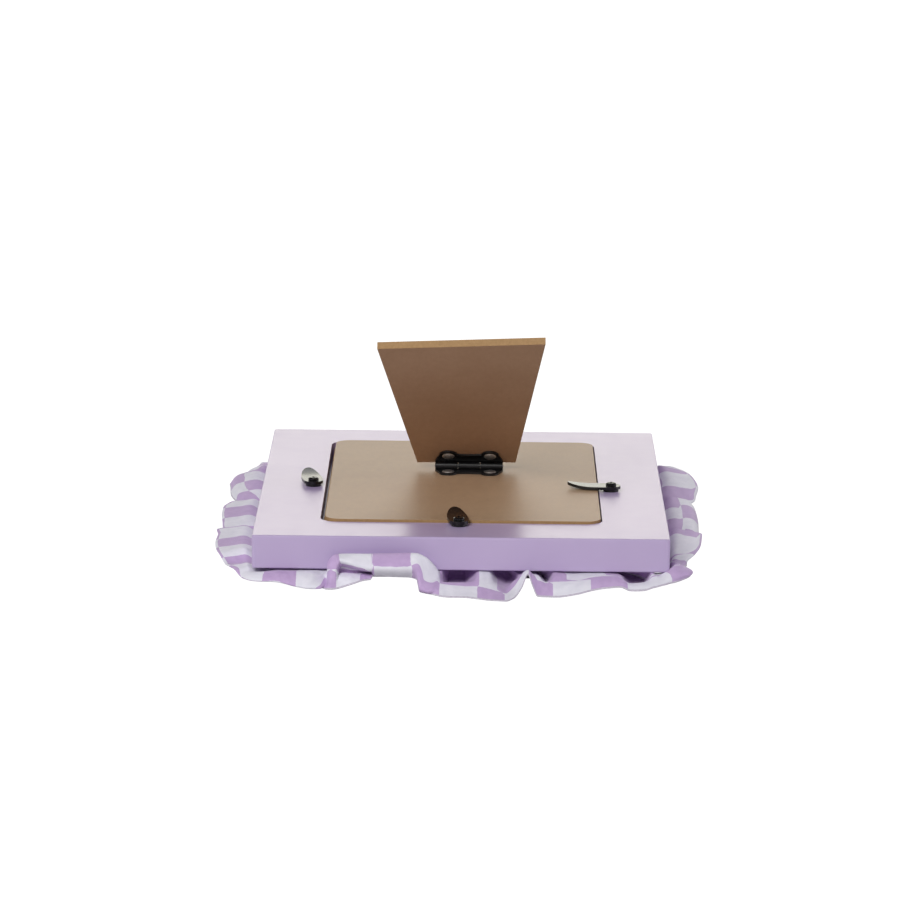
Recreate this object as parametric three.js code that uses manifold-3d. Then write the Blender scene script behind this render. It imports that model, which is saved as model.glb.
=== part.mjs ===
// A tabletop picture frame with a ruffled cloth edge, lying on its face with its strut open.
// Millimetres and degrees. +Z is up from the table, +Y points to the frame's top edge, +X to the right.
import * as THREE from "three";
import { mergeVertices } from "three/addons/utils/BufferGeometryUtils.js";
import Module from "manifold-3d";

const wasm = await Module();
wasm.setup();

// Driving dimensions: the frame body and what lies in its rebate
const frame = { width: 190, length: 240, depth: 15.5, corner: 1.5, edge: 0.8 };
const sheet = { width: 127, length: 178 }; // a 5 by 7 inch photograph and all that is cut to match it
const rebate = { play: 1.5, corner: 8, cornerRelief: 1 };
const sight = { cover: 4, corner: 4 }; // how far the lip covers the sheets, and the window's corners
const pane = { thickness: 2 };
const insert = { thickness: 0.3 };
const card = { thickness: 2.5 };
const panel = { thickness: 3, proud: 1, rightGap: 0.75 };
const layerGap = 0.2;

// Driving dimensions: the front moulding and the ruffle that it clamps
const fascia = { thickness: 8.8, sides: 13.5, ends: 13, edge: 2, bevel: 3 }; // sides and ends: its own width
const glueLine = 0.2;
const cloth = { thickness: 0.7, clearance: 0.25, heading: 8, headingCorner: 3, tableGap: 0.5 };
const ruffle = { wallCorner: 8, drawnWidth: 190, drawnLength: 240, drawnLift: 9 }; // as the folds are drawn

// Driving dimensions: the strut and its hinge
const hinge = {
  x: 3.2,
  y: 20.5,
  open: 37,
  width: 32.6,
  leaf: 13,
  thickness: 0.8,
  barrel: 2,
  pin: 0.8,
  pinPlay: 0.1,
  knuckleGap: 0.12,
  knuckle: 10.6,
  lobe: 4.4,
  spread: 20,
  notch: 3.4,
  relief: 2,
  heel: 4.6,
};
const strut = {
  start: -0.5,
  length: 125.6,
  slant: 5.2,
  narrow: 47.4,
  wide: 77.4,
  lean: 0.4,
  thickness: 3.5,
  offset: -1.3,
  skew: 1.1,
};
const rivet = { head: 3, headHeight: 0.9, shank: 1.3, clinch: 2.2, clinchHeight: 0.5, play: 0.2 };

// Driving dimensions: the turn buttons
const button = {
  inset: 5.7,
  base: 4.5,
  belly: 5.5,
  tip: 4.2,
  reach: 20.7,
  thickness: 1.4,
  bend: 9,
  rise: 1.8,
};
const washer = { radius: 3.6, thickness: 1.1 };
const screw = {
  head: 2.5,
  headHeight: 1.3,
  shank: 1.6,
  length: 9,
  point: 2,
  play: 0.25,
  slot: 0.7,
  slotDepth: 0.6,
};
const seat = 0.15; // the hairline left between hard pieces that touch

// Where each turn button sits along its edge, and the way that its arm points
const BUTTONS = [
  { name: "right", edge: 0, along: -18.2, turn: 179 },
  { name: "top", edge: 90, along: 0, turn: 270 },
  { name: "left", edge: 180, along: -13.4, turn: 99 },
  { name: "bottom", edge: 270, along: -1.1, turn: 96 },
];

// A fold of the ruffle drawn point by point: its place on a side, or its degrees in a corner, and then its
// points at the wall, crown, brow, tuck and hem, each out from the wall and up from the table.
const bend = (at, wall, crown, brow, tuck, hem, crownLean = 0, hemLean = 0) => ({
  at,
  points: [wall, crown, brow, tuck, hem],
  leans: [0, crownLean, (crownLean + hemLean) / 2, hemLean, hemLean],
});

// An ordinary fold: how far its hem reaches, the heights of its crest and hem, and the hem's curl inwards
const wave = (at, reach, crest, hemUp, curl = 0) => {
  const browUp = crest - 0.15 * (crest - hemUp);
  const tuckUp = (browUp + hemUp) / 2 + 0.4;
  const wall = [1.2, Math.min(crest - 0.5, ruffle.drawnLift - 0.7)];
  const tuck = [0.9 * reach + 0.5 * curl, tuckUp];
  return bend(at, wall, [0.32 * reach, crest], [0.62 * reach, browUp], tuck, [reach - curl, hemUp]);
};

// The folds in order along the strip, which starts on the right side and ends past the bottom right corner
const FOLDS = {
  right: [
    bend(-108, [0.8, 7.9], [1.8, 8.1], [2.8, 8.2], [3.8, 8.1], [4.6, 7.8]),
    wave(-98, 6.5, 9, 7.8),
    wave(-78, 11.6, 10.4, 5.6, 5),
    wave(-48, 16.2, 11, 5.4, 6),
    wave(-40, 16.7, 11.3, 6, 6),
    wave(-34, 15.5, 7.2, 4.4),
    wave(-26, 17, 9, 4.6),
    wave(4, 18.2, 10.4, 5.8),
    wave(30, 17, 11.2, 6.8),
    wave(37, 14.4, 7, 4.4),
    wave(44, 16.9, 8.8, 3.6, 6),
    wave(70, 20.2, 10, 4.6, 6),
    wave(100, 15.2, 10.6, 6.6, 5),
    wave(110, 10.6, 9.6, 7.8),
  ],
  top_right: [wave(16, 8.4, 8.2, 6.8), wave(45, 8, 6, 3.6), wave(74, 9, 7.8, 5.2)],
  top: [
    wave(84, 11, 8.6, 6.4),
    wave(72, 16, 10.8, 7),
    wave(46, 19, 8, 3.4),
    wave(38, 17, 5, 1.4),
    wave(22, 21.6, 11.4, 7.4),
    wave(4, 24.2, 10.6, 6),
    wave(-14, 21.6, 8.8, 3.6),
    wave(-22, 17, 5.2, 1.4),
    wave(-38, 19, 11.2, 7.6),
    wave(-72, 16, 9.6, 5.4),
    wave(-84, 11, 8.4, 5.4),
  ],
  top_left: [wave(16, 9, 7.6, 5.2), wave(45, 8, 6, 3.6), wave(74, 8.2, 8.2, 6.6)],
  left: [
    wave(112, 6.4, 8.6, 6.6),
    wave(91, 15.6, 10.8, 5.8),
    wave(83, 19.6, 10.8, 5),
    wave(61, 18.8, 9.6, 3.2),
    wave(39, 12.2, 7.4, 3.2, 1),
    wave(29, 9.4, 5.8, 3, 1),
    wave(16, 16.1, 10.8, 7.2, 5),
    wave(-4, 18.4, 10.8, 5.8, 6),
    wave(-30, 16.2, 8.8, 3.8, 6),
    wave(-37, 14.4, 6.6, 3.6),
    wave(-43, 18.7, 11.2, 7, 6),
    wave(-63, 18.2, 10.2, 5.2, 6),
    wave(-87, 14.9, 9.2, 4.8, 6),
    wave(-106, 10.6, 8.4, 5),
  ],
  bottom_left: [
    wave(10, 6.6, 7.4, 5.2),
    bend(32, [0.6, 6.6], [2.4, 7], [4.8, 6.4], [6.8, 5], [1.6, 3.8]),
    bend(58, [0.6, 7], [2.6, 7.4], [5.4, 6.6], [7.6, 5], [1, 3.6]),
    bend(80, [0.6, 7.6], [2.8, 8], [6, 7.2], [8.4, 5.2], [1.6, 3.6]),
  ],
  bottom: [
    bend(-84, [0.6, 8], [3, 8.3], [6.4, 7.4], [8.9, 5.1], [2.4, 3.6]),
    bend(-68, [0.6, 8], [3.6, 8.3], [8.4, 6.4], [11.8, 3], [3.2, 1.8]),
    bend(-60.8, [0.4, 6.4], [2.2, 5.2], [5, 4.6], [8.6, 3.4], [11.2, 2.2]),
    bend(-58.6, [1.2, 8], [4.6, 13.4], [8.2, 10.6], [10.8, 6.4], [11.4, 2.2], -1.4, 0),
    bend(-56.4, [1.4, 8.3], [5.2, 16.8], [9.4, 12.8], [10.4, 7.2], [11.3, 2.4], -0.8, 0),
    bend(-54, [1.4, 8.3], [5.5, 17.3], [9.8, 13.4], [4.6, 8.9], [11.3, 3]),
    bend(-48.5, [1.4, 8.3], [5.7, 17.5], [10.2, 12.8], [5, 8.6], [11.5, 5]),
    bend(-43.5, [1.4, 8.3], [5.8, 17.6], [10.4, 12.2], [8, 8.6], [10.8, 6.8]),
    bend(-39.5, [1.4, 8.3], [6, 17.8], [10.6, 12.2], [11.2, 8.4], [7.4, 7]),
    bend(-24, [1.4, 8.3], [6, 18.3], [10.5, 12.2], [11.3, 8.3], [7.2, 6.8]),
    bend(-20, [1.4, 8.3], [6, 18.2], [10.4, 12.2], [11.6, 8.6], [8.6, 6.6]),
    bend(-18, [1.2, 8.2], [6, 16.8], [10.2, 11], [12, 7.6], [12.2, 4.2], 1.5, 0),
    bend(-15.5, [0.8, 8], [5, 13.6], [9.4, 8.6], [12.4, 4.8], [13.4, 1.6], 2.5, -1),
    bend(-12.5, [0.4, 7.6], [3.6, 10], [8, 6.4], [12.2, 3.4], [14.8, 0.9], 2, -0.5),
    bend(-9, [-6, 3], [0, 2.6], [7, 5], [12, 3], [15.8, 0.9]),
    bend(-5.5, [-14, 1.8], [-3, 1.4], [6.8, 4.6], [12.4, 2.8], [16.6, 0.9]),
    bend(1.5, [-14, 1.8], [-3, 1.4], [6.8, 4.6], [13, 2.8], [18.4, 0.9]),
    bend(8.5, [0.6, 8.1], [3.6, 7.6], [8.2, 6], [14.2, 3.4], [20, 0.9]),
    bend(13, [0.4, 7.6], [3.6, 6.8], [8.4, 5.6], [15.2, 3.2], [22, 0.9]),
    bend(20.5, [-13, 1.8], [-1, 1.3], [12, 2.4], [18, 1.8], [24.4, 0.9]),
    bend(24, [-11, 2.2], [-2, 2], [6.8, 5.6], [14.6, 3.2], [20.5, 1.2]),
    bend(27.5, [0.4, 7.2], [3.4, 8.2], [7, 8.2], [11.4, 6.4], [15, 4.6]),
    bend(30.5, [1, 8.3], [3.8, 10.4], [6.2, 10.8], [8, 10.4], [9.4, 9.8]),
    bend(32.6, [0.6, 7.6], [3.6, 8.6], [6.8, 8.6], [10, 7.2], [12.4, 5.2]),
    bend(35, [0.4, 7], [2.6, 7.8], [5.8, 7.8], [10.6, 4.6], [15, 1]),
    bend(38.5, [-11, 2.2], [-1, 2.2], [6.8, 5.4], [11.6, 3.4], [15, 0.9]),
    bend(43, [0.5, 8], [3.6, 7.6], [7.6, 6.2], [12, 3.8], [15, 0.9]),
    bend(59.5, [0.8, 8], [4, 8], [7, 7.3], [11, 5.6], [13.6, 3.5]),
    bend(72.5, [0.6, 7.6], [3.5, 7.6], [6.5, 7.3], [10, 6.3], [12.2, 4.9]),
    bend(77, [-11, 2], [-1, 2.2], [6, 5.2], [10, 4.7], [11.6, 3.4]),
    bend(83, [-11, 2], [-1, 2.6], [5.5, 5.6], [9.8, 5], [12, 3.6]),
  ],
  bottom_right: [
    bend(15, [-5, 3], [1, 4], [5, 6.2], [8.4, 6], [10.2, 5.3]),
    bend(35, [0.4, 6.4], [2.6, 7], [5, 7.2], [7, 6.9], [8, 6.4]),
    bend(60, [0.6, 6.4], [2.8, 6.6], [5, 6.8], [7, 6.5], [8.4, 6]),
    bend(87, [0.6, 6], [3, 6.3], [5.6, 6.5], [8.4, 6.4], [10.6, 6]),
    bend(118, [0.6, 5.8], [3, 6], [5, 6.3], [7, 6.6], [8.6, 6.8]),
  ],
};

// Heights worked out from those sizes
const bodyFront = fascia.thickness + glueLine;
const backFace = bodyFront + frame.depth;
const panelTop = backFace + panel.proud;
const panelBottom = panelTop - panel.thickness;
const cardBottom = panelBottom - layerGap - card.thickness;
const insertBottom = cardBottom - layerGap - insert.thickness;
const paneBottom = insertBottom - layerGap - pane.thickness;
const rebateFloor = paneBottom - layerGap;
const clothZ = bodyFront - cloth.clearance - cloth.thickness / 2;
const headingFloor = clothZ - cloth.thickness / 2 - cloth.clearance;
const hingeZ = panelTop + seat + hinge.barrel;
const buttonZ = backFace + seat + washer.thickness + seat;

// Plan sizes worked out from those sizes
const openingWidth = sheet.width + 2 * rebate.play;
const openingLength = sheet.length + 2 * rebate.play;
const sheetCorner = rebate.corner - rebate.cornerRelief;
const windowWidth = sheet.width - 2 * sight.cover;
const windowLength = sheet.length - 2 * sight.cover;
const panelX = rebate.play - panel.rightGap;
const fasciaWidth = windowWidth + 2 * fascia.sides;
const fasciaLength = windowLength + 2 * fascia.ends;
const setback = [(frame.width - fasciaWidth) / 2, (frame.length - fasciaLength) / 2];
const lobeX = hinge.spread / 2;
const lobeY = hinge.leaf - hinge.lobe;

const radians = THREE.MathUtils.degToRad;

// A geometry as a closed manifold solid
function solidOf(geometry) {
  const plain = geometry.clone();
  plain.deleteAttribute("normal");
  plain.deleteAttribute("uv");
  const merged = mergeVertices(plain, 1e-4);
  return new wasm.Manifold(
    new wasm.Mesh({
      numProp: 3,
      vertProperties: new Float32Array(merged.attributes.position.array),
      triVerts: new Uint32Array(merged.index.array),
    }),
  );
}

// A manifold solid as a geometry with flat faces
function geometryOf(solid) {
  const made = solid.getMesh();
  const geometry = new THREE.BufferGeometry();
  geometry.setAttribute("position", new THREE.BufferAttribute(made.vertProperties, 3));
  geometry.setIndex(new THREE.BufferAttribute(made.triVerts, 1));
  const flat = geometry.toNonIndexed();
  flat.computeVertexNormals();
  return flat;
}

// The outline of a rectangle with round corners, anticlockwise
function roundedRectangle(width, length, radius, steps = 6) {
  const points = [];
  const middles = [
    [1, 1],
    [-1, 1],
    [-1, -1],
    [1, -1],
  ];
  middles.forEach(([x, y], quarter) => {
    for (let i = 0; i <= steps; i++) {
      const angle = ((quarter + i / steps) * Math.PI) / 2;
      points.push(
        new THREE.Vector2(
          x * (width / 2 - radius) + radius * Math.cos(angle),
          y * (length / 2 - radius) + radius * Math.sin(angle),
        ),
      );
    }
  });
  return points;
}

// A solid through outlines of equal point counts, each with its height
function loft(sections) {
  const positions = [];
  const index = [];
  const count = sections[0].outline.length;
  for (const { outline, z } of sections) {
    outline.forEach((p) => positions.push(p.x, p.y, z));
  }
  for (let level = 0; level + 1 < sections.length; level++) {
    for (let i = 0; i < count; i++) {
      const a = level * count + i;
      const b = level * count + ((i + 1) % count);
      index.push(a, b, b + count, a, b + count, a + count);
    }
  }
  const last = (sections.length - 1) * count;
  const lids = THREE.ShapeUtils.triangulateShape(sections[0].outline, []);
  for (const [a, b, c] of lids) {
    index.push(a, c, b, last + a, last + b, last + c);
  }
  const geometry = new THREE.BufferGeometry();
  geometry.setAttribute("position", new THREE.Float32BufferAttribute(positions, 3));
  geometry.setIndex(index);
  return solidOf(geometry);
}

// A straight prism between two heights
function prism(outline, low, high) {
  return loft([
    { outline, z: low },
    { outline, z: high },
  ]);
}

// A block whose edges are rounded at the bottom, the top or both
function easedBlock(width, length, corner, low, high, bottomEdge, topEdge) {
  const inset = (amount) =>
    roundedRectangle(width - 2 * amount, length - 2 * amount, Math.max(corner - amount, 0.05));
  const sections = [];
  const turns = [0, 30, 60, 90];
  for (const turn of turns) {
    const angle = radians(turn);
    sections.push({
      outline: inset(bottomEdge * (1 - Math.sin(angle))),
      z: low + bottomEdge * (1 - Math.cos(angle)),
    });
  }
  for (const turn of turns) {
    const angle = radians(turn);
    sections.push({
      outline: inset(topEdge * (1 - Math.cos(angle))),
      z: high - topEdge * (1 - Math.sin(angle)),
    });
  }
  const kept = sections.filter((section, i) => i === 0 || section.z > sections[i - 1].z + 1e-6);
  return loft(kept);
}

// A solid of revolution about Z from [radius, height] points that start and end on the axis
function revolve(profile, segments = 24) {
  const points = profile.map(([radius, z]) => new THREE.Vector2(radius, z));
  return solidOf(new THREE.LatheGeometry(points, segments).rotateX(Math.PI / 2));
}

// A round bar along Z, or a drill for a hole
function bar(radius, low, high, segments = 24) {
  return revolve(
    [
      [0, low],
      [radius, low],
      [radius, high],
      [0, high],
    ],
    segments,
  );
}

// A box given by its least and greatest corners
function box(low, high) {
  const size = high.map((v, i) => v - low[i]);
  const made = new THREE.BoxGeometry(...size);
  made.translate(...low.map((v, i) => v + size[i] / 2));
  return solidOf(made);
}

// A flat plate cut from a THREE.Shape between two heights
function plate(shape, low, high, curveSegments = 10) {
  const made = new THREE.ExtrudeGeometry(shape, { depth: high - low, bevelEnabled: false, curveSegments });
  return solidOf(made.translate(0, 0, low));
}

const root = new THREE.Group();

// Adds a solid to a group as a named mesh with its own material
function add(group, name, solid, color, roughness, metalness = 0) {
  const material = new THREE.MeshStandardMaterial({ color, roughness, metalness });
  const mesh = new THREE.Mesh(geometryOf(solid), material);
  mesh.name = name;
  group.add(mesh);
  return mesh;
}

// The place of a turn button's pivot on the back of the frame
function buttonPivot({ edge, along }) {
  const across = edge % 180 === 0 ? openingWidth / 2 : openingLength / 2;
  const out = across + button.inset;
  const sideways = edge % 180 === 0 ? [0, along] : [along, 0];
  return [out * Math.cos(radians(edge)) + sideways[0], out * Math.sin(radians(edge)) + sideways[1]];
}

// Frame body: one board with the rebate routed from the back and the sight window cut through
function makeFrameBody() {
  let body = easedBlock(frame.width, frame.length, frame.corner, bodyFront, backFace, frame.edge, frame.edge);
  const opening = roundedRectangle(openingWidth, openingLength, rebate.corner, 8);
  body = body.subtract(prism(opening, rebateFloor, backFace + 1));
  const window = roundedRectangle(windowWidth, windowLength, sight.corner);
  body = body.subtract(prism(window, bodyFront - 1, rebateFloor + 1));
  const drillRadius = screw.shank + screw.play;
  const drillTip = buttonZ + button.thickness - screw.length - screw.play;
  for (const place of BUTTONS) {
    body = body.subtract(bar(drillRadius, drillTip, backFace + 1, 12).translate([...buttonPivot(place), 0]));
  }
  add(root, "frame_body", body, 0xc3b2d4, 0.45);
}

// Front fascia: the set-back front moulding, stepped at its outer edge for the ruffle's heading
function makeFascia() {
  const corner = cloth.headingCorner + cloth.heading;
  let body = easedBlock(fasciaWidth, fasciaLength, corner, 0, fascia.thickness, fascia.edge, 0);
  const step = 2 * (cloth.heading + cloth.clearance);
  const inside = prism(
    roundedRectangle(fasciaWidth - step, fasciaLength - step, cloth.headingCorner),
    headingFloor,
    fascia.thickness + 1,
  );
  const beyond = fascia.thickness + 1;
  const around = box([-fasciaWidth, -fasciaLength, headingFloor], [fasciaWidth, fasciaLength, beyond]);
  body = body.subtract(around.subtract(inside));
  const window = (grow) =>
    roundedRectangle(windowWidth + 2 * grow, windowLength + 2 * grow, sight.corner + grow);
  const tunnel = [
    { outline: window(fascia.bevel + 1), z: -1 },
    { outline: window(0), z: fascia.bevel },
    { outline: window(0), z: fascia.thickness + 1 },
  ];
  add(root, "front_fascia", body.subtract(loft(tunnel)), 0xc3b2d4, 0.45);
}

// The sheets in the rebate: pane, photograph, filler card and back panel
function makeSheets() {
  const outline = roundedRectangle(sheet.width, sheet.length, sheetCorner);
  add(root, "glazing_pane", prism(outline, paneBottom, paneBottom + pane.thickness), 0xe8f0f2, 0.05);
  add(root, "photo_insert", prism(outline, insertBottom, insertBottom + insert.thickness), 0xf2efe8, 0.6);
  add(root, "filler_card", prism(outline, cardBottom, cardBottom + card.thickness), 0xb08d62, 0.9);
  let back = prism(outline, panelBottom, panelTop).translate([panelX, 0, 0]);
  for (const side of [-1, 1]) {
    const place = [hinge.x + side * lobeX, hinge.y - lobeY, 0];
    const sink = rivet.clinchHeight + 2 * seat;
    const hole = bar(rivet.shank + rivet.play, panelBottom - 1, panelTop + 1, 16);
    const counterbore = bar(rivet.clinch + rivet.play, panelBottom - 1, panelBottom + sink, 16);
    back = back.subtract(hole.add(counterbore).translate(place));
  }
  add(root, "back_panel", back, 0xb5a38c, 0.75);
}

// One hinge leaf's outline: two round lobes with a shallow notch between them, running to -Y from the pin
function leafShape() {
  const half = hinge.width / 2;
  const shoulder = -hinge.barrel - hinge.thickness;
  const below = hinge.lobe - hinge.notch;
  const dip = Math.asin(below / hinge.lobe);
  const inner = lobeX - hinge.lobe * Math.cos(dip);
  const shape = new THREE.Shape();
  shape.moveTo(-half, 0);
  shape.lineTo(-half, shoulder);
  shape.lineTo(-lobeX - hinge.lobe, -lobeY);
  shape.absarc(-lobeX, -lobeY, hinge.lobe, Math.PI, 2 * Math.PI - dip, false);
  shape.quadraticCurveTo(0, -lobeY, inner, -lobeY - below);
  shape.absarc(lobeX, -lobeY, hinge.lobe, Math.PI + dip, 2 * Math.PI, false);
  shape.lineTo(half, shoulder);
  shape.lineTo(half, 0);
  shape.closePath();
  return shape;
}

// A leaf with its knuckles: the pin lies on X through the origin and the plate at the barrel's underside
function hingeLeaf(knuckles, reliefs) {
  let leaf = plate(leafShape(), -hinge.barrel, -hinge.barrel + hinge.thickness);
  for (const [from, to] of reliefs) {
    leaf = leaf.subtract(box([from, -hinge.relief, -2 * hinge.barrel], [to, 1, 2 * hinge.barrel]));
  }
  for (const [from, to] of knuckles) {
    leaf = leaf.add(bar(hinge.barrel, from, to, 20).rotate([0, 90, 0]));
  }
  for (const side of [-1, 1]) {
    const hole = bar(rivet.shank + rivet.play, -2 * hinge.barrel, 2 * hinge.barrel, 16);
    leaf = leaf.subtract(hole.translate([side * lobeX, -lobeY, 0]));
  }
  return leaf;
}

// The bore for the pin, cut last so that it stays open
function pinBore() {
  return bar(hinge.pin + hinge.pinPlay, -hinge.width, hinge.width, 16).rotate([0, 90, 0]);
}

// A rivet with its round head up from z = 0, and its clinched end below the pieces that it holds
function makeRivet(grip) {
  const dome = [30, 60].map((turn) => {
    const angle = radians(turn);
    return [rivet.head * Math.cos(angle), rivet.headHeight * Math.sin(angle)];
  });
  return revolve([
    [0, -grip - rivet.clinchHeight],
    [rivet.clinch, -grip - rivet.clinchHeight],
    [rivet.clinch, -grip],
    [rivet.shank, -grip],
    [rivet.shank, 0],
    [rivet.head, 0],
    ...dome,
    [0, rivet.headHeight],
  ]);
}

// The strut's hinge: the leaf on the panel, the leaf on the strut with its stop heel, the pin and rivets
function makeHinge() {
  const half = hinge.width / 2;
  const middle = hinge.knuckle / 2;
  const clear = middle + hinge.knuckleGap;
  const steel = [0x1e1c1c, 0.35, 0.6];
  const fixed = new THREE.Group();
  fixed.position.set(hinge.x, hinge.y, hingeZ);
  root.add(fixed);
  const outerKnuckles = [
    [-half, -clear],
    [clear, half],
  ];
  const panelLeaf = hingeLeaf(outerKnuckles, [[-clear, clear]]).subtract(pinBore());
  add(fixed, "hinge_panel_leaf", panelLeaf, ...steel);
  const dome = hinge.pin / 2;
  const pin = revolve(
    [
      [0, -half - dome],
      [dome, -half - dome / 2],
      [hinge.pin, -half + dome],
      [hinge.pin, half - dome],
      [dome, half + dome / 2],
      [0, half + dome],
    ],
    16,
  );
  add(fixed, "hinge_pin", pin.rotate([0, 90, 0]), 0x8a8784, 0.3, 0.9);

  const turning = new THREE.Group();
  turning.position.copy(fixed.position);
  turning.rotation.x = -radians(hinge.open);
  root.add(turning);
  const outerReliefs = [
    [-half - 1, -middle],
    [middle, half + 1],
  ];
  // The heel lies flat over the panel behind the pin when the strut is open, and stops it there.
  const heel = box([-middle, 0, -hinge.barrel], [middle, hinge.heel, -hinge.barrel + 2 * hinge.thickness]);
  let strutLeaf = hingeLeaf([[-middle, middle]], outerReliefs).mirror([0, 0, 1]);
  strutLeaf = strutLeaf.add(heel.rotate([hinge.open, 0, 0])).subtract(pinBore());
  add(turning, "hinge_strut_leaf", strutLeaf, ...steel);

  const leafTop = -hinge.barrel + hinge.thickness;
  const panelGrip = hinge.thickness + panel.thickness + 2 * seat - rivet.clinchHeight - seat;
  const strutGrip = hinge.thickness + strut.thickness + 3 * seat;
  for (const [side, word] of [
    [-1, "left"],
    [1, "right"],
  ]) {
    const place = [side * lobeX, -lobeY, leafTop + seat];
    add(fixed, `panel_rivet_${word}`, makeRivet(panelGrip).translate(place), 0x9a958e, 0.35, 0.8);
    const turned = makeRivet(strutGrip).translate(place).mirror([0, 0, 1]);
    add(turning, `strut_rivet_${word}`, turned, 0x9a958e, 0.35, 0.8);
  }
  makeStrut(turning);
}

// The strut: a board that widens from the hinge to its slanted foot, riveted on a little askew
function makeStrut(group) {
  const low = hinge.barrel + seat;
  const shape = new THREE.Shape();
  shape.moveTo(-strut.narrow / 2, -strut.start);
  shape.lineTo(-strut.wide / 2 - strut.lean, -strut.start - strut.length + strut.slant / 2);
  shape.lineTo(strut.wide / 2 - strut.lean, -strut.start - strut.length - strut.slant / 2);
  shape.lineTo(strut.narrow / 2, -strut.start);
  shape.closePath();
  let board = plate(shape, low, low + strut.thickness);
  board = board.rotate([0, 0, -strut.skew]).translate([strut.offset, 0, 0]);
  for (const side of [-1, 1]) {
    const hole = bar(rivet.shank + rivet.play, 0, 2 * low + strut.thickness, 16);
    board = board.subtract(hole.translate([side * lobeX, -lobeY, 0]));
  }
  add(group, "strut", board, 0x9c7a5c, 0.75);
}

// A turn button with its arm along +X from the pivot: a side profile cut to a leaf-shaped plan
function turnButton() {
  const beyond = button.reach + 1;
  const rise = (button.rise * (beyond - button.bend)) / (button.reach - button.bend);
  const half = (button.bend + beyond) / 2;
  const profile = new THREE.Shape();
  profile.moveTo(-button.base - 1, 0);
  profile.lineTo(button.bend, 0);
  profile.quadraticCurveTo(half, 0, beyond, rise);
  profile.lineTo(beyond, rise + button.thickness);
  profile.quadraticCurveTo(half, button.thickness, button.bend, button.thickness);
  profile.lineTo(-button.base - 1, button.thickness);
  profile.closePath();
  const side = plate(profile, -2 * button.base, 2 * button.base, 6).rotate([90, 0, 0]);

  const plan = new THREE.Shape();
  plan.absarc(0, 0, button.base, Math.PI / 2, 1.5 * Math.PI, false);
  plan.bezierCurveTo(button.reach / 3, -button.belly, button.reach, -button.tip, button.reach, 0);
  plan.bezierCurveTo(button.reach, button.tip, button.reach / 3, button.belly, 0, button.base);
  plan.closePath();
  const leaf = plate(plan, -1, button.thickness + 2 * button.rise + 1, 12);
  return side.intersect(leaf).subtract(bar(screw.shank + screw.play, -1, button.thickness + 1, 16));
}

// A pan-head screw with a cross slot, its head's underside at z = 0
function panScrew() {
  const crown = screw.headHeight * 0.6;
  const body = revolve([
    [0, -screw.length],
    [screw.shank, -screw.length + screw.point],
    [screw.shank, 0],
    [screw.head, 0],
    [screw.head, crown],
    [screw.head * 0.75, screw.headHeight * 0.92],
    [0, screw.headHeight],
  ]);
  const arm = screw.head * 0.6;
  const top = screw.headHeight + 1;
  const deep = screw.headHeight - screw.slotDepth;
  const across = box([-arm, -screw.slot / 2, deep], [arm, screw.slot / 2, top]);
  return body.subtract(across).subtract(across.rotate([0, 0, 90]));
}

// The four turn buttons, each on its washer under its screw
function makeButtons() {
  for (const place of BUTTONS) {
    const [x, y] = buttonPivot(place);
    const group = new THREE.Group();
    group.position.set(x, y, 0);
    group.rotation.z = radians(place.turn);
    root.add(group);
    const disc = bar(washer.radius, backFace + seat, backFace + seat + washer.thickness, 24);
    const hole = bar(screw.shank + screw.play, backFace - 1, backFace + washer.thickness + 1, 16);
    add(group, `button_washer_${place.name}`, disc.subtract(hole), 0x2a2828, 0.5, 0.3);
    add(group, `turn_button_${place.name}`, turnButton().translate([0, 0, buttonZ]), 0x161516, 0.2, 0.2);
    const headZ = buttonZ + button.thickness + seat;
    add(group, `button_screw_${place.name}`, panScrew().translate([0, 0, headZ]), 0x1a1919, 0.3, 0.7);
  }
}

// The ways out of the body on its sides, and the angles at which its corners start
const WAYS_OUT = { right: [1, 0], top: [0, 1], left: [-1, 0], bottom: [0, -1] };
const CORNER_STARTS = { top_right: 0, top_left: 90, bottom_left: 180, bottom_right: 270 };

// A place on a rounded rectangle inside the wall, at a fold's share of its side or corner, and its way out
function ringPlace(name, at, inset, corner) {
  const half = [frame.width / 2 - inset[0], frame.length / 2 - inset[1]];
  if (name in CORNER_STARTS) {
    const angle = radians(CORNER_STARTS[name] + at);
    const diagonal = radians(CORNER_STARTS[name] + 45);
    const out = [Math.cos(angle), Math.sin(angle)];
    const quadrant = [Math.sign(Math.cos(diagonal)), Math.sign(Math.sin(diagonal))];
    return { place: out.map((o, i) => quadrant[i] * (half[i] - corner) + corner * o), out };
  }
  const out = WAYS_OUT[name];
  const drawn = [ruffle.drawnWidth, ruffle.drawnLength].map((size) => size / 2 - ruffle.wallCorner);
  const along = half.map((size, i) => ((size - corner) * at) / drawn[i]);
  return { place: out.map((o, i) => (o === 0 ? along[i] : o * half[i])), out };
}

// A fold's middle line in space: the clamped heading and then the fold's own points, with the ways out
function foldLine(name, { at, points, leans }) {
  const line = [];
  const headings = [
    [setback.map((size) => size + cloth.heading), cloth.headingCorner],
    [setback, cloth.headingCorner + cloth.heading],
  ];
  const held = name in CORNER_STARTS ? Math.min(at, 90) : at;
  for (const [inset, corner] of headings) {
    const { place, out } = ringPlace(name, held, inset, corner);
    line.push({ place, out, away: -Math.max(...inset), up: clothZ });
  }
  points.forEach(([away, up], k) => {
    const { place, out } = ringPlace(name, at + leans[k], [0, 0], ruffle.wallCorner);
    const moved = place.map((v, i) => v + out[i] * away);
    line.push({ place: moved, out, away, up: (up * bodyFront) / ruffle.drawnLift });
  });
  return line;
}

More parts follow.
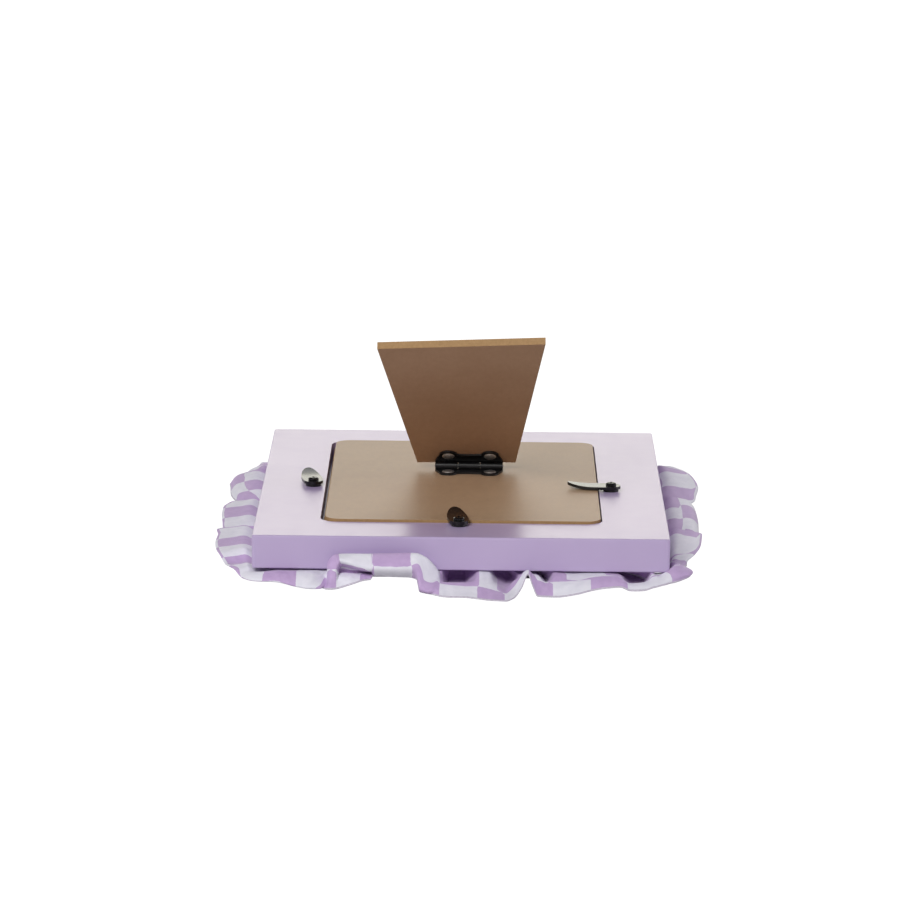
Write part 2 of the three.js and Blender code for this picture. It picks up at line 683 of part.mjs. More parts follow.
// Ruffle: one strip of cloth clamped along its heading, its two ends meeting at the bottom right corner
function makeRuffle() {
  const half = cloth.thickness / 2;
  const positions = [];
  const lines = Object.keys(FOLDS).flatMap((name) => FOLDS[name].map((fold) => foldLine(name, fold)));
  const count = lines[0].length;
  for (const line of lines) {
    for (const face of [half, -half]) {
      line.forEach(({ place, out, up }, k) => {
        const before = line[Math.max(k - 1, 0)];
        const after = line[Math.min(k + 1, count - 1)];
        const run = [after.away - before.away, after.up - before.up];
        const size = Math.hypot(...run);
        const sideways = (-face * run[1]) / size;
        const low = cloth.tableGap + half + face;
        const z = Math.max(up + (face * run[0]) / size, low);
        positions.push(place[0] + out[0] * sideways, place[1] + out[1] * sideways, z);
      });
    }
  }
  const ring = 2 * count;
  const upper = [...Array(count).keys()];
  const loop = upper.concat(upper.map((k) => ring - 1 - k));
  const index = [];
  for (let i = 0; i + 1 < lines.length; i++) {
    for (let k = 0; k < ring; k++) {
      const a = i * ring + loop[k];
      const b = i * ring + loop[(k + 1) % ring];
      index.push(a, b, b + ring, a, b + ring, a + ring);
    }
  }
  const last = (lines.length - 1) * ring;
  for (let k = 0; k + 1 < count; k++) {
    index.push(k, count + k, count + k + 1, k, count + k + 1, k + 1);
    const far = last + k;
    index.push(far, far + count + 1, far + count, far, far + 1, far + count + 1);
  }
  const geometry = new THREE.BufferGeometry();
  geometry.setAttribute("position", new THREE.Float32BufferAttribute(positions, 3));
  geometry.setIndex(index);
  add(root, "ruffle", solidOf(geometry), 0xc9b8d6, 0.9);
}

makeFrameBody();
makeFascia();
makeSheets();
makeHinge();
makeButtons();
makeRuffle();

export default root;
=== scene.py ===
"""A tabletop picture frame lying on its face: lilac body, fibreboard back and easel strut, checked ruffle."""
import math

import bpy
import numpy as np
from mathutils import Matrix, Vector


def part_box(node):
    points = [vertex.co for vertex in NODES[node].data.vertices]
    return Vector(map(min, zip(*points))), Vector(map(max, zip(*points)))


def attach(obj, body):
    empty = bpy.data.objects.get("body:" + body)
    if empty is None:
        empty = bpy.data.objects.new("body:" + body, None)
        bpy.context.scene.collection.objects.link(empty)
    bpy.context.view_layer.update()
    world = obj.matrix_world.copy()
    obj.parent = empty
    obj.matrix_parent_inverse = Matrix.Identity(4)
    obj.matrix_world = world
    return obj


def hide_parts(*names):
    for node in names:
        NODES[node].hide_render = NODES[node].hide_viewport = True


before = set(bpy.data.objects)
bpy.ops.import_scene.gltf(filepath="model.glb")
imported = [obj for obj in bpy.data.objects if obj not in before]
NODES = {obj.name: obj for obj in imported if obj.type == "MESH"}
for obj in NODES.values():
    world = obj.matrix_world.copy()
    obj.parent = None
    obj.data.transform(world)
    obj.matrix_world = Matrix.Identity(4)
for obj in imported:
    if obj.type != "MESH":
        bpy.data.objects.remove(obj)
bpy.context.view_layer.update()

MM = 0.001  # metres


# Camera, fitted to the edges of the frame's back in the photograph
CAMERA_ELEVATION = 11.87  # degrees
CAMERA_AZIMUTH = -0.28
CAMERA_ROLL = 0.579
CAMERA_DISTANCE = 2.237  # metres
CAMERA_TARGET = Vector((-0.00598, 0.0, 0.03973))
CAMERA_FAR = 50.0
CAMERA_LENS = 187.24  # mm
CAMERA_SENSOR = 36.0


def make_camera():
    """The camera at the photograph's angle."""
    elevation = math.radians(CAMERA_ELEVATION)
    azimuth = math.radians(CAMERA_AZIMUTH)
    roll = math.radians(CAMERA_ROLL)
    forward = Vector((math.sin(azimuth) * math.cos(elevation),
                      math.cos(azimuth) * math.cos(elevation),
                      -math.sin(elevation)))
    level = Vector((math.cos(azimuth), -math.sin(azimuth), 0.0))
    upright = level.cross(forward)
    right = math.cos(roll) * level + math.sin(roll) * upright
    up = math.cos(roll) * upright - math.sin(roll) * level
    data = bpy.data.cameras.new("photo_camera")
    data.lens = CAMERA_LENS
    data.sensor_width = CAMERA_SENSOR
    data.clip_end = CAMERA_FAR
    camera = bpy.data.objects.new("photo_camera", data)
    bpy.context.scene.collection.objects.link(camera)
    turn = Matrix((right, up, -forward)).transposed().to_4x4()
    camera.matrix_world = Matrix.Translation(CAMERA_TARGET - forward * CAMERA_DISTANCE) @ turn
    bpy.context.scene.camera = camera


# Materials. A piece's own coordinates are in metres, and the cloth's map is in millimetres.
WAVE_PERIOD = 0.314  # a wave texture of scale 1 repeats after this length
FACE_ON = 0.8  # what points this nearly along a board's thickness is a pressed face, not a sawn edge
FLUTE_PITCH = 10.0  # mm
CHECK = 16.7  # mm, one square of the check
CHECK_WANDER = 0.5  # mm, how far the squares' edges stray
WANDER_SIZE = 1.25  # mm, the length that they stray over
SLUB = 2.0  # mm, a thicker place in a thread
THREAD = 0.55  # mm; a real thread is nearer 0.25, and is drawn coarser so that the weave shows
WRAP_PITCH = 1.2  # mm, from one turn of the overlock thread to the next
FUZZ = 5 / 6  # mm, a tuft of loose fibre

# A mix node's sockets share their names, so they go by number
SHARE = 0
NUMBER_LOW, NUMBER_HIGH, NUMBER_OUT = 2, 3, 0
COLOUR_LOW, COLOUR_HIGH, COLOUR_OUT = 6, 7, 2


def linear(hex_colour):
    """An sRGB hex colour as linear RGBA."""
    channels = [int(hex_colour[i:i + 2], 16) / 255 for i in (1, 3, 5)]
    return [c / 12.92 if c <= 0.04045 else ((c + 0.055) / 1.055) ** 2.4 for c in channels] + [1.0]


def patches(size):
    """A noise scale that gives patches of about that size, in the units of the noise's coordinates."""
    return 0.5 / size


def add_node(tree, kind, inputs=None, stops=(), **settings):
    """Adds a node with its settings; each input is a value or the socket that feeds it.

    The stops are the places and colours of a colour ramp.
    """
    made = tree.nodes.new(kind)
    for name, value in settings.items():
        setattr(made, name, value)
    for i, (position, colour) in enumerate(stops):
        made.color_ramp.elements[i].position = position
        made.color_ramp.elements[i].color = linear(colour)
    for key, value in (inputs or {}).items():
        if isinstance(value, bpy.types.NodeSocket):
            tree.links.new(value, made.inputs[key])
        else:
            made.inputs[key].default_value = value
    return made


def new_material(name):
    """An empty material and its node tree."""
    made = bpy.data.materials.new(name)
    made.use_nodes = True
    made.node_tree.nodes.clear()
    return made, made.node_tree


def satin_lilac_paint():
    """Sprayed satin lacquer on sanded board: soft sheen, faint orange peel, hardly any change of colour."""
    material, tree = new_material("satin_lilac_lacquer")
    place = add_node(tree, "ShaderNodeTexCoord").outputs["Object"]
    cloud = add_node(tree, "ShaderNodeTexNoise", {
        "Vector": place,
        "Scale": patches(30 * MM),
        "Detail": 4.0,
    }).outputs["Fac"]
    peel = add_node(tree, "ShaderNodeTexNoise", {
        "Vector": place,
        "Scale": patches(1.2 * MM),
        "Detail": 2.0,
    }).outputs["Fac"]
    speck = add_node(tree, "ShaderNodeTexNoise", {
        "Vector": place,
        "Scale": patches(4.0 * MM),
        "Detail": 5.0,
        "Roughness": 0.6,
    }).outputs["Fac"]
    colour = add_node(tree, "ShaderNodeValToRGB", {"Fac": cloud}, stops=[(0.3, "#B9A6CD"), (0.7, "#C3B1D4")])
    roughness = add_node(tree, "ShaderNodeMapRange", {"Value": speck, "To Min": 0.25, "To Max": 0.36})
    relief = add_node(tree, "ShaderNodeBump", {"Height": peel, "Strength": 0.35, "Distance": 0.02 * MM})
    surface = add_node(tree, "ShaderNodeBsdfPrincipled", {
        "Base Color": colour.outputs["Color"],
        "Roughness": roughness.outputs["Result"],
        "IOR": 1.5,
        "Normal": relief.outputs["Normal"],
    })
    add_node(tree, "ShaderNodeOutputMaterial", {"Surface": surface.outputs[0]})
    return material


def raw_fibreboard(name, across, face_low, face_high):
    """Medium density fibreboard, hot pressed: smooth tan faces flecked with fibre, and sawn golden edges.

    The thickness runs along `across`, which tells its faces from its edges.
    """
    material, tree = new_material(name)
    coordinates = add_node(tree, "ShaderNodeTexCoord")
    place = coordinates.outputs["Object"]
    cloud = add_node(tree, "ShaderNodeTexNoise", {
        "Vector": place,
        "Scale": patches(25 * MM),
        "Detail": 4.0,
    }).outputs["Fac"]
    lengthwise = add_node(tree, "ShaderNodeMapping", {"Vector": place, "Scale": (1.0, 0.35, 1.0)})
    fibre = add_node(tree, "ShaderNodeTexNoise", {
        "Vector": lengthwise.outputs["Vector"],
        "Scale": patches(1.1 * MM),
        "Detail": 4.0,
        "Roughness": 0.7,
    }).outputs["Fac"]
    saw = add_node(tree, "ShaderNodeTexNoise", {
        "Vector": place,
        "Scale": patches(0.7 * MM),
        "Detail": 4.0,
        "Roughness": 0.7,
    }).outputs["Fac"]
    fleck = add_node(tree, "ShaderNodeMix", {
        SHARE: 0.45,
        NUMBER_LOW: cloud,
        NUMBER_HIGH: fibre,
    }, data_type="FLOAT").outputs[NUMBER_OUT]
    face = add_node(tree, "ShaderNodeValToRGB", {"Fac": fleck}, stops=[(0.36, face_low), (0.64, face_high)])
    edge = add_node(tree, "ShaderNodeValToRGB", {"Fac": saw}, stops=[(0.3, "#A37F54"), (0.7, "#B48F63")])

    # A pressed face points along the thickness, one way or the other
    facing = add_node(tree, "ShaderNodeVectorMath", {0: coordinates.outputs["Normal"], 1: across},
                      operation="DOT_PRODUCT").outputs["Value"]
    either_way = add_node(tree, "ShaderNodeMath", {0: facing}, operation="ABSOLUTE").outputs[0]
    is_face = add_node(tree, "ShaderNodeMath", {0: either_way, 1: FACE_ON},
                       operation="GREATER_THAN").outputs[0]
    colour = add_node(tree, "ShaderNodeMix", {
        SHARE: is_face,
        COLOUR_LOW: edge.outputs["Color"],
        COLOUR_HIGH: face.outputs["Color"],
    }, data_type="RGBA")
    face_roughness = add_node(tree, "ShaderNodeMapRange", {"Value": fibre, "To Min": 0.44, "To Max": 0.56})
    roughness = add_node(tree, "ShaderNodeMix", {
        SHARE: is_face,
        NUMBER_LOW: 0.75,
        NUMBER_HIGH: face_roughness.outputs["Result"],
    }, data_type="FLOAT")
    relief = add_node(tree, "ShaderNodeBump", {"Height": fibre, "Strength": 0.25, "Distance": 0.03 * MM})
    surface = add_node(tree, "ShaderNodeBsdfPrincipled", {
        "Base Color": colour.outputs[COLOUR_OUT],
        "Roughness": roughness.outputs[NUMBER_OUT],
        "IOR": 1.5,
        "Normal": relief.outputs["Normal"],
    })
    add_node(tree, "ShaderNodeOutputMaterial", {"Surface": surface.outputs[0]})
    return material


def black_enamel(name, low_rough, high_rough):
    """Baked black enamel on stamped steel: near black, glossy, with light rub marks."""
    material, tree = new_material(name)
    place = add_node(tree, "ShaderNodeTexCoord").outputs["Object"]
    rub = add_node(tree, "ShaderNodeTexNoise", {
        "Vector": place,
        "Scale": patches(3.0 * MM),
        "Detail": 5.0,
        "Roughness": 0.65,
    }).outputs["Fac"]
    colour = add_node(tree, "ShaderNodeValToRGB", {"Fac": rub}, stops=[(0.3, "#0B0A0B"), (0.7, "#151415")])
    roughness = add_node(tree, "ShaderNodeMapRange", {
        "Value": rub,
        "To Min": low_rough,
        "To Max": high_rough,
    })
    relief = add_node(tree, "ShaderNodeBump", {"Height": rub, "Strength": 0.2, "Distance": 0.02 * MM})
    surface = add_node(tree, "ShaderNodeBsdfPrincipled", {
        "Base Color": colour.outputs["Color"],
        "Roughness": roughness.outputs["Result"],
        "IOR": 1.48,
        "Normal": relief.outputs["Normal"],
    })
    add_node(tree, "ShaderNodeOutputMaterial", {"Surface": surface.outputs[0]})
    return material


def nickel_plate():
    """Nickel plated steel, barrel tumbled: grey and bright with fine handling scratches."""
    material, tree = new_material("nickel_plated_steel")
    place = add_node(tree, "ShaderNodeTexCoord").outputs["Object"]
    crosswise = add_node(tree, "ShaderNodeMapping", {"Vector": place, "Scale": (1.0, 6.0, 1.0)})
    scratch = add_node(tree, "ShaderNodeTexNoise", {
        "Vector": crosswise.outputs["Vector"],
        "Scale": patches(0.5 * MM),
        "Detail": 3.0,
    }).outputs["Fac"]
    colour = add_node(tree, "ShaderNodeValToRGB", {"Fac": scratch},
                      stops=[(0.3, "#A5A29E"), (0.7, "#C2BFBB")])
    roughness = add_node(tree, "ShaderNodeMapRange", {"Value": scratch, "To Min": 0.42, "To Max": 0.58})
    relief = add_node(tree, "ShaderNodeBump", {"Height": scratch, "Strength": 0.3, "Distance": 0.01 * MM})
    surface = add_node(tree, "ShaderNodeBsdfPrincipled", {
        "Base Color": colour.outputs["Color"],
        "Metallic": 1.0,
        "Roughness": roughness.outputs["Result"],
        "Normal": relief.outputs["Normal"],
    })
    add_node(tree, "ShaderNodeOutputMaterial", {"Surface": surface.outputs[0]})
    return material


def float_glass():
    """Float glass: clear, faintly green in its depth, with a trace of smear on its face."""
    material, tree = new_material("float_glass")
    place = add_node(tree, "ShaderNodeTexCoord").outputs["Object"]
    smear = add_node(tree, "ShaderNodeTexNoise", {
        "Vector": place,
        "Scale": patches(40 * MM),
        "Detail": 5.0,
    }).outputs["Fac"]
    colour = add_node(tree, "ShaderNodeValToRGB", {"Fac": smear}, stops=[(0.3, "#F3F8F6"), (0.7, "#F8FBFA")])
    roughness = add_node(tree, "ShaderNodeMapRange", {"Value": smear, "To Min": 0.0, "To Max": 0.03})
    surface = add_node(tree, "ShaderNodeBsdfPrincipled", {
        "Base Color": colour.outputs["Color"],
        "Roughness": roughness.outputs["Result"],
        "IOR": 1.52,
        "Transmission Weight": 1.0,
    })
    add_node(tree, "ShaderNodeOutputMaterial", {"Surface": surface.outputs[0]})
    return material


def coated_paper():
    """Coated printing paper, plain: warm white with a faint tooth."""
    material, tree = new_material("coated_paper")
    place = add_node(tree, "ShaderNodeTexCoord").outputs["Object"]
    tooth = add_node(tree, "ShaderNodeTexNoise", {
        "Vector": place,
        "Scale": patches(0.8 * MM),
        "Detail": 4.0,
    }).outputs["Fac"]
    cloud = add_node(tree, "ShaderNodeTexNoise", {
        "Vector": place,
        "Scale": patches(60 * MM),
        "Detail": 2.0,
    }).outputs["Fac"]
    colour = add_node(tree, "ShaderNodeValToRGB", {"Fac": cloud}, stops=[(0.3, "#E9E4DA"), (0.7, "#F1EDE5")])
    roughness = add_node(tree, "ShaderNodeMapRange", {"Value": tooth, "To Min": 0.45, "To Max": 0.6})
    relief = add_node(tree, "ShaderNodeBump", {"Height": tooth, "Strength": 0.3, "Distance": 0.02 * MM})
    surface = add_node(tree, "ShaderNodeBsdfPrincipled", {
        "Base Color": colour.outputs["Color"],
        "Roughness": roughness.outputs["Result"],
        "IOR": 1.5,
        "Normal": relief.outputs["Normal"],
    })
    add_node(tree, "ShaderNodeOutputMaterial", {"Surface": surface.outputs[0]})
    return material


def kraft_card():
    """Corrugated kraft board: brown liner paper with the flutes just showing through it."""
    material, tree = new_material("kraft_board")
    place = add_node(tree, "ShaderNodeTexCoord").outputs["Object"]
    flute = add_node(tree, "ShaderNodeTexWave", {"Vector": place, "Scale": WAVE_PERIOD / (FLUTE_PITCH * MM)},
                     bands_direction="Y").outputs["Fac"]
    crosswise = add_node(tree, "ShaderNodeMapping", {"Vector": place, "Scale": (0.4, 1.0, 1.0)})
    fibre = add_node(tree, "ShaderNodeTexNoise", {
        "Vector": crosswise.outputs["Vector"],
        "Scale": patches(1.0 * MM),
        "Detail": 4.0,
        "Roughness": 0.7,
    }).outputs["Fac"]
    colour = add_node(tree, "ShaderNodeValToRGB", {"Fac": fibre}, stops=[(0.3, "#A37C50"), (0.7, "#BE976A")])
    roughness = add_node(tree, "ShaderNodeMapRange", {"Value": fibre, "To Min": 0.8, "To Max": 0.95})
    liner = add_node(tree, "ShaderNodeBump", {"Height": fibre, "Strength": 0.4, "Distance": 0.05 * MM})
    relief = add_node(tree, "ShaderNodeBump", {
        "Height": flute,
        "Strength": 0.4,
        "Distance": 0.15 * MM,
        "Normal": liner.outputs["Normal"],
    })
    surface = add_node(tree, "ShaderNodeBsdfPrincipled", {
        "Base Color": colour.outputs["Color"],
        "Roughness": roughness.outputs["Result"],
        "IOR": 1.5,
        "Normal": relief.outputs["Normal"],
    })
    add_node(tree, "ShaderNodeOutputMaterial", {"Surface": surface.outputs[0]})
    return material


def checked_cotton():
    """Plain woven polyester cotton in a lilac and white check: matt, soft, threads just visible."""
    material, tree = new_material("checked_cotton")
    cloth = add_node(tree, "ShaderNodeUVMap", uv_map="cloth_mm").outputs[0]

    # The squares, with edges that stray a little
    wander = add_node(tree, "ShaderNodeTexNoise", {
        "Vector": cloth,
        "Scale": patches(WANDER_SIZE),
        "Detail": 2.0,
    })
    offset = add_node(tree, "ShaderNodeVectorMath", {0: wander.outputs["Color"], 1: (0.5, 0.5, 0.5)},
                      operation="SUBTRACT").outputs[0]
    stray = (CHECK_WANDER, CHECK_WANDER, 0.0)
    nudged = add_node(tree, "ShaderNodeVectorMath", {0: offset, 1: stray, 2: cloth},
                      operation="MULTIPLY_ADD").outputs[0]
    check = add_node(tree, "ShaderNodeTexChecker", {"Vector": nudged, "Scale": 1.0 / CHECK})

    slub = add_node(tree, "ShaderNodeTexNoise", {
        "Vector": cloth,
        "Scale": patches(SLUB),
        "Detail": 5.0,
    }).outputs["Fac"]
    white = add_node(tree, "ShaderNodeValToRGB", {"Fac": slub}, stops=[(0.3, "#E6E4EF"), (0.7, "#F1EFF8")])
    lilac = add_node(tree, "ShaderNodeValToRGB", {"Fac": slub}, stops=[(0.3, "#C0A3D0"), (0.7, "#CDB2DB")])
    colour = add_node(tree, "ShaderNodeMix", {
        SHARE: check.outputs["Fac"],
        COLOUR_LOW: lilac.outputs["Color"],
        COLOUR_HIGH: white.outputs["Color"],
    }, data_type="RGBA")
    roughness = add_node(tree, "ShaderNodeMapRange", {"Value": slub, "To Min": 0.82, "To Max": 0.95})
    warp, weft = (
        add_node(tree, "ShaderNodeTexWave", {"Vector": cloth, "Scale": WAVE_PERIOD / THREAD},
                 bands_direction=direction).outputs["Fac"]
        for direction in "XY"
    )
    weave = add_node(tree, "ShaderNodeMath", {0: warp, 1: weft}, operation="MULTIPLY").outputs[0]
    relief = add_node(tree, "ShaderNodeBump", {"Height": weave, "Strength": 0.5, "Distance": 0.08 * MM})
    surface = add_node(tree, "ShaderNodeBsdfPrincipled", {
        "Base Color": colour.outputs[COLOUR_OUT],
        "Roughness": roughness.outputs["Result"],
        "IOR": 1.45,
        "Sheen Weight": 0.25,
        "Sheen Roughness": 0.5,
        "Normal": relief.outputs["Normal"],
    })
    add_node(tree, "ShaderNodeOutputMaterial", {"Surface": surface.outputs[0]})
    return material


def overlock_thread():
    """Overlocked edge: grey lilac thread wrapped over the cloth, ribbed across its length."""
    material, tree = new_material("overlock_thread")
    cloth = add_node(tree, "ShaderNodeUVMap", uv_map="cloth_mm").outputs[0]
    wrap = add_node(tree, "ShaderNodeTexWave", {
        "Vector": cloth,
        "Scale": WAVE_PERIOD / WRAP_PITCH,
        "Distortion": 1.0,
    }, bands_direction="X").outputs["Fac"]
    fuzz = add_node(tree, "ShaderNodeTexNoise", {
        "Vector": cloth,
        "Scale": patches(FUZZ),
        "Detail": 4.0,
    }).outputs["Fac"]
    colour = add_node(tree, "ShaderNodeValToRGB", {"Fac": fuzz}, stops=[(0.3, "#C4BBCB"), (0.7, "#DDD6E2")])
    roughness = add_node(tree, "ShaderNodeMapRange", {"Value": fuzz, "To Min": 0.75, "To Max": 0.95})
    relief = add_node(tree, "ShaderNodeBump", {"Height": wrap, "Strength": 0.6, "Distance": 0.25 * MM})
    surface = add_node(tree, "ShaderNodeBsdfPrincipled", {
        "Base Color": colour.outputs["Color"],
        "Roughness": roughness.outputs["Result"],
        "IOR": 1.45,
        "Sheen Weight": 0.2,
        "Normal": relief.outputs["Normal"],
    })
    add_node(tree, "ShaderNodeOutputMaterial", {"Surface": surface.outputs[0]})
    return material


# The ruffle. Sizes in millimetres: out from the body's side wall, up from the table, and along the wall.
BODY_LOW, BODY_HIGH = (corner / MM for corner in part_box("frame_body"))
_, FASCIA_HIGH = (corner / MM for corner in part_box("front_fascia"))
HALF_WIDTH = BODY_HIGH.x
HALF_LENGTH = BODY_HIGH.y
WALL_FOOT = BODY_LOW.z
WALL_CORNER = 8.0  # radius that the cloth turns on at the body's corners
HEADING = 8.0  # width of the gathered edge, clamped between body and fascia
HEADING_DROP = 0.6  # from the body's lower face to the middle of the cloth
HEADING_UP = WALL_FOOT - HEADING_DROP
HEADING_OUTER = HALF_WIDTH - FASCIA_HIGH.x
HEADING_INNER = HEADING_OUTER + HEADING
HEADING_CORNER = 3.0
CLOTH = 0.45  # thickness
CLEAR_OF_TABLE = 0.6

# An ordinary fold: where its points stand. The first three shares are of its reach.
CROWN_SHARE = 0.32
BROW_SHARE = 0.62
TUCK_SHARE = 0.9
BROW_DROP = 0.15  # share of the fall from crest to hem that the brow has gone down
TUCK_RISE = 0.4  # the tuck bulges this far above the straight line from brow to hem
WALL_OUT = 1.2
BELOW_CREST = 0.5  # at the wall the cloth is at least this far under the crest
BELOW_WALL = 0.7  # and at least this far under the wall's foot


def bend(at, wall, crown, brow, tuck, hem, crown_lean=0.0, hem_lean=0.0, lip=None):
    """A fold drawn point by point, from the wall over its crown to the hem.

    Each point is out from the wall and up from the table. The leans shift the crown and hem along the wall.
    """
    lip = lip or ((tuck[0] + hem[0]) / 2, (tuck[1] + hem[1]) / 2)
    return (at, *wall, *crown, *brow, *tuck, *lip, *hem, crown_lean, hem_lean)


def wave(at, reach, crest, hem_up, curl=0.0):
    """An ordinary fold: its hem's reach, the heights of its crest and hem, and the hem's curl inwards."""
    brow_up = crest - BROW_DROP * (crest - hem_up)
    tuck_up = 0.5 * brow_up + 0.5 * hem_up
    wall_up = min(crest - BELOW_CREST, WALL_FOOT - BELOW_WALL)
    return bend(at, (WALL_OUT, wall_up), (CROWN_SHARE * reach, crest), (BROW_SHARE * reach, brow_up),
                (TUCK_SHARE * reach + 0.5 * curl, tuck_up + TUCK_RISE), (reach - curl, hem_up))


